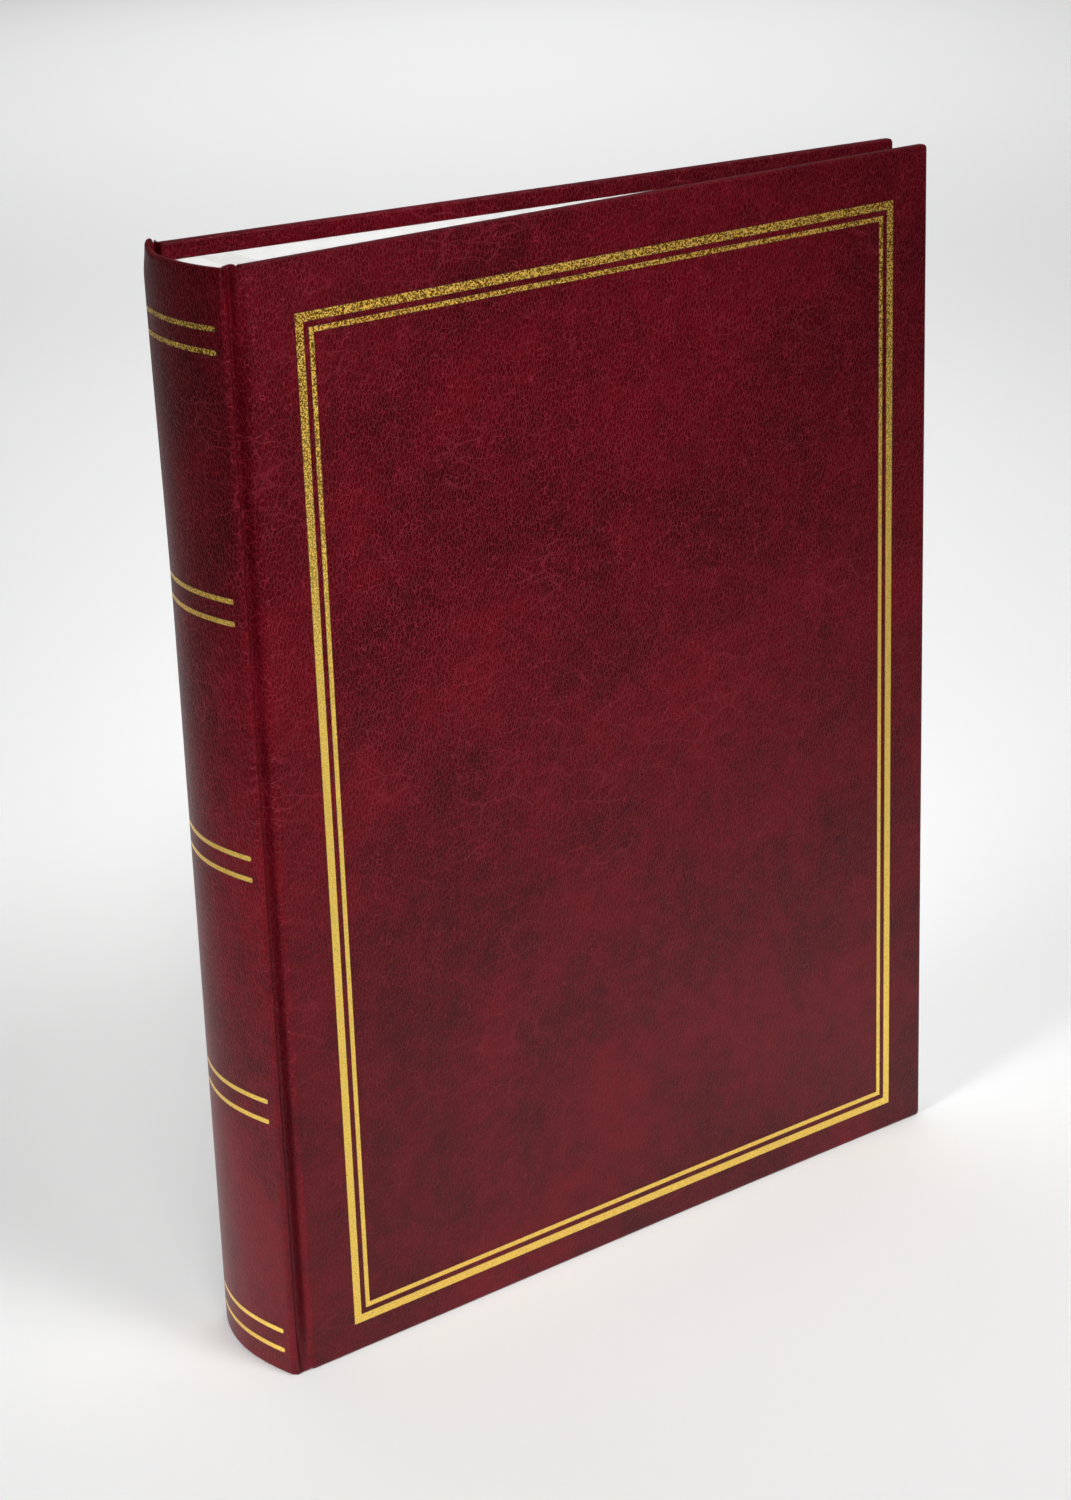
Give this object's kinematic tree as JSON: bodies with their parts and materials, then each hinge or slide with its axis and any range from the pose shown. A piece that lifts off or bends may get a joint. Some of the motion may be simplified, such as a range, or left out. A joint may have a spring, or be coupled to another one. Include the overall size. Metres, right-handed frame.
{
  "type": "stamp album",
  "caption": "Book-bound stamp album: burgundy leatherette case with a rounded hollow spine, double gold rule on the front and white card leaves with clear pocket strips on linen hinges.",
  "frame": {"origin": "middle of the album's outline on the surface that it stands on", "axes": "+Z from tail to head, +X from the spine to the fore-edge, +Y from the front cover to the back cover"},
  "size_m": [0.2452, 0.044, 0.31],
  "materials": {
    "leatherette": "satin, fine grain",
    "gold_foil": "hot-stamped foil",
    "grey_board": "pressed grey board",
    "endpaper": "smooth uncoated",
    "leaf_card": "smooth card",
    "guard_card": "card, cut edges",
    "linen": "plain weave",
    "pocket_film": "clear film"
  },
  "bodies": {
    "binding": {"spine_leatherette": "leatherette", "front_joint": "leatherette", "back_joint": "leatherette", "spine_card": "grey_board", "spine_bands": "gold_foil", "binding_guards": "guard_card", "linen_hinges": "linen", "spine_lining": "linen"},
    "front_cover": {"front_leatherette": "leatherette", "front_board": "grey_board", "front_outer_rule": "gold_foil", "front_inner_rule": "gold_foil", "front_pastedown": "endpaper"},
    "back_cover": {"back_leatherette": "leatherette", "back_board": "grey_board", "back_pastedown": "endpaper"},
    "front_flyleaf": {"front_flyleaf": "endpaper"},
    "back_flyleaf": {"back_flyleaf": "endpaper"},
    "leaf_01": {"leaf_01": "leaf_card", "pockets_01": "pocket_film"},
    "leaf_02": {"leaf_02": "leaf_card", "pockets_02": "pocket_film"},
    "leaf_03": {"leaf_03": "leaf_card", "pockets_03": "pocket_film"},
    "leaf_04": {"leaf_04": "leaf_card", "pockets_04": "pocket_film"},
    "leaf_05": {"leaf_05": "leaf_card", "pockets_05": "pocket_film"},
    "leaf_06": {"leaf_06": "leaf_card", "pockets_06": "pocket_film"},
    "leaf_07": {"leaf_07": "leaf_card", "pockets_07": "pocket_film"},
    "leaf_08": {"leaf_08": "leaf_card", "pockets_08": "pocket_film"},
    "leaf_09": {"leaf_09": "leaf_card", "pockets_09": "pocket_film"},
    "leaf_10": {"leaf_10": "leaf_card", "pockets_10": "pocket_film"},
    "leaf_11": {"leaf_11": "leaf_card", "pockets_11": "pocket_film"},
    "leaf_12": {"leaf_12": "leaf_card", "pockets_12": "pocket_film"},
    "leaf_13": {"leaf_13": "leaf_card", "pockets_13": "pocket_film"},
    "leaf_14": {"leaf_14": "leaf_card", "pockets_14": "pocket_film"},
    "leaf_15": {"leaf_15": "leaf_card", "pockets_15": "pocket_film"},
    "leaf_16": {"leaf_16": "leaf_card", "pockets_16": "pocket_film"}
  },
  "joints": [
    {"name": "front_cover_swing", "type": "hinge", "parent": "binding", "child": "front_cover", "pos_m": [-0.11496, -0.022, 0], "axis": [0, 0, -1], "range_deg": [0, 180]},
    {"name": "back_cover_swing", "type": "hinge", "parent": "binding", "child": "back_cover", "pos_m": [-0.11496, 0.022, 0], "axis": [0, 0, 1], "range_deg": [0, 180]},
    {"name": "front_flyleaf_turn", "type": "hinge", "parent": "binding", "child": "front_flyleaf", "pos_m": [-0.10436, -0.01775, 0.0047], "axis": [0, 0, -1], "range_deg": [0, 130]},
    {"name": "back_flyleaf_turn", "type": "hinge", "parent": "binding", "child": "back_flyleaf", "pos_m": [-0.10436, 0.01775, 0.0047], "axis": [0, 0, 1], "range_deg": [0, 130]},
    {"name": "leaf_01_turn", "type": "hinge", "parent": "binding", "child": "leaf_01", "pos_m": [-0.10196, -0.0165, 0.0047], "axis": [0, 0, -1], "range_deg": [0, 92]},
    {"name": "leaf_02_turn", "type": "hinge", "parent": "binding", "child": "leaf_02", "pos_m": [-0.10196, -0.0143, 0.0047], "axis": [0, 0, -1], "range_deg": [0, 80.5]},
    {"name": "leaf_03_turn", "type": "hinge", "parent": "binding", "child": "leaf_03", "pos_m": [-0.10196, -0.0121, 0.0047], "axis": [0, 0, -1], "range_deg": [0, 69]},
    {"name": "leaf_04_turn", "type": "hinge", "parent": "binding", "child": "leaf_04", "pos_m": [-0.10196, -0.0099, 0.0047], "axis": [0, 0, -1], "range_deg": [0, 57.5]},
    {"name": "leaf_05_turn", "type": "hinge", "parent": "binding", "child": "leaf_05", "pos_m": [-0.10196, -0.0077, 0.0047], "axis": [0, 0, -1], "range_deg": [0, 46]},
    {"name": "leaf_06_turn", "type": "hinge", "parent": "binding", "child": "leaf_06", "pos_m": [-0.10196, -0.0055, 0.0047], "axis": [0, 0, -1], "range_deg": [0, 34.5]},
    {"name": "leaf_07_turn", "type": "hinge", "parent": "binding", "child": "leaf_07", "pos_m": [-0.10196, -0.0033, 0.0047], "axis": [0, 0, -1], "range_deg": [0, 23]},
    {"name": "leaf_08_turn", "type": "hinge", "parent": "binding", "child": "leaf_08", "pos_m": [-0.10196, -0.0011, 0.0047], "axis": [0, 0, -1], "range_deg": [0, 11.5]},
    {"name": "leaf_09_turn", "type": "hinge", "parent": "binding", "child": "leaf_09", "pos_m": [-0.10196, 0.0011, 0.0047], "axis": [0, 0, 1], "range_deg": [0, 11.5]},
    {"name": "leaf_10_turn", "type": "hinge", "parent": "binding", "child": "leaf_10", "pos_m": [-0.10196, 0.0033, 0.0047], "axis": [0, 0, 1], "range_deg": [0, 23]},
    {"name": "leaf_11_turn", "type": "hinge", "parent": "binding", "child": "leaf_11", "pos_m": [-0.10196, 0.0055, 0.0047], "axis": [0, 0, 1], "range_deg": [0, 34.5]},
    {"name": "leaf_12_turn", "type": "hinge", "parent": "binding", "child": "leaf_12", "pos_m": [-0.10196, 0.0077, 0.0047], "axis": [0, 0, 1], "range_deg": [0, 46]},
    {"name": "leaf_13_turn", "type": "hinge", "parent": "binding", "child": "leaf_13", "pos_m": [-0.10196, 0.0099, 0.0047], "axis": [0, 0, 1], "range_deg": [0, 57.5]},
    {"name": "leaf_14_turn", "type": "hinge", "parent": "binding", "child": "leaf_14", "pos_m": [-0.10196, 0.0121, 0.0047], "axis": [0, 0, 1], "range_deg": [0, 69]},
    {"name": "leaf_15_turn", "type": "hinge", "parent": "binding", "child": "leaf_15", "pos_m": [-0.10196, 0.0143, 0.0047], "axis": [0, 0, 1], "range_deg": [0, 80.5]},
    {"name": "leaf_16_turn", "type": "hinge", "parent": "binding", "child": "leaf_16", "pos_m": [-0.10196, 0.0165, 0.0047], "axis": [0, 0, 1], "range_deg": [0, 92]}
  ],
  "couplings": [
    {"joint": "front_flyleaf_turn", "follows": "front_cover_swing", "ratio": 0.72222},
    {"joint": "back_flyleaf_turn", "follows": "back_cover_swing", "ratio": 0.72222},
    {"joint": "leaf_01_turn", "follows": "front_cover_swing", "ratio": 0.51111},
    {"joint": "leaf_02_turn", "follows": "front_cover_swing", "ratio": 0.44722},
    {"joint": "leaf_03_turn", "follows": "front_cover_swing", "ratio": 0.38333},
    {"joint": "leaf_04_turn", "follows": "front_cover_swing", "ratio": 0.31944},
    {"joint": "leaf_05_turn", "follows": "front_cover_swing", "ratio": 0.25555},
    {"joint": "leaf_06_turn", "follows": "front_cover_swing", "ratio": 0.19167},
    {"joint": "leaf_07_turn", "follows": "front_cover_swing", "ratio": 0.12778},
    {"joint": "leaf_08_turn", "follows": "front_cover_swing", "ratio": 0.063888},
    {"joint": "leaf_09_turn", "follows": "back_cover_swing", "ratio": 0.063888},
    {"joint": "leaf_10_turn", "follows": "back_cover_swing", "ratio": 0.12778},
    {"joint": "leaf_11_turn", "follows": "back_cover_swing", "ratio": 0.19167},
    {"joint": "leaf_12_turn", "follows": "back_cover_swing", "ratio": 0.25555},
    {"joint": "leaf_13_turn", "follows": "back_cover_swing", "ratio": 0.31944},
    {"joint": "leaf_14_turn", "follows": "back_cover_swing", "ratio": 0.38333},
    {"joint": "leaf_15_turn", "follows": "back_cover_swing", "ratio": 0.44722},
    {"joint": "leaf_16_turn", "follows": "back_cover_swing", "ratio": 0.51111}
  ]
}
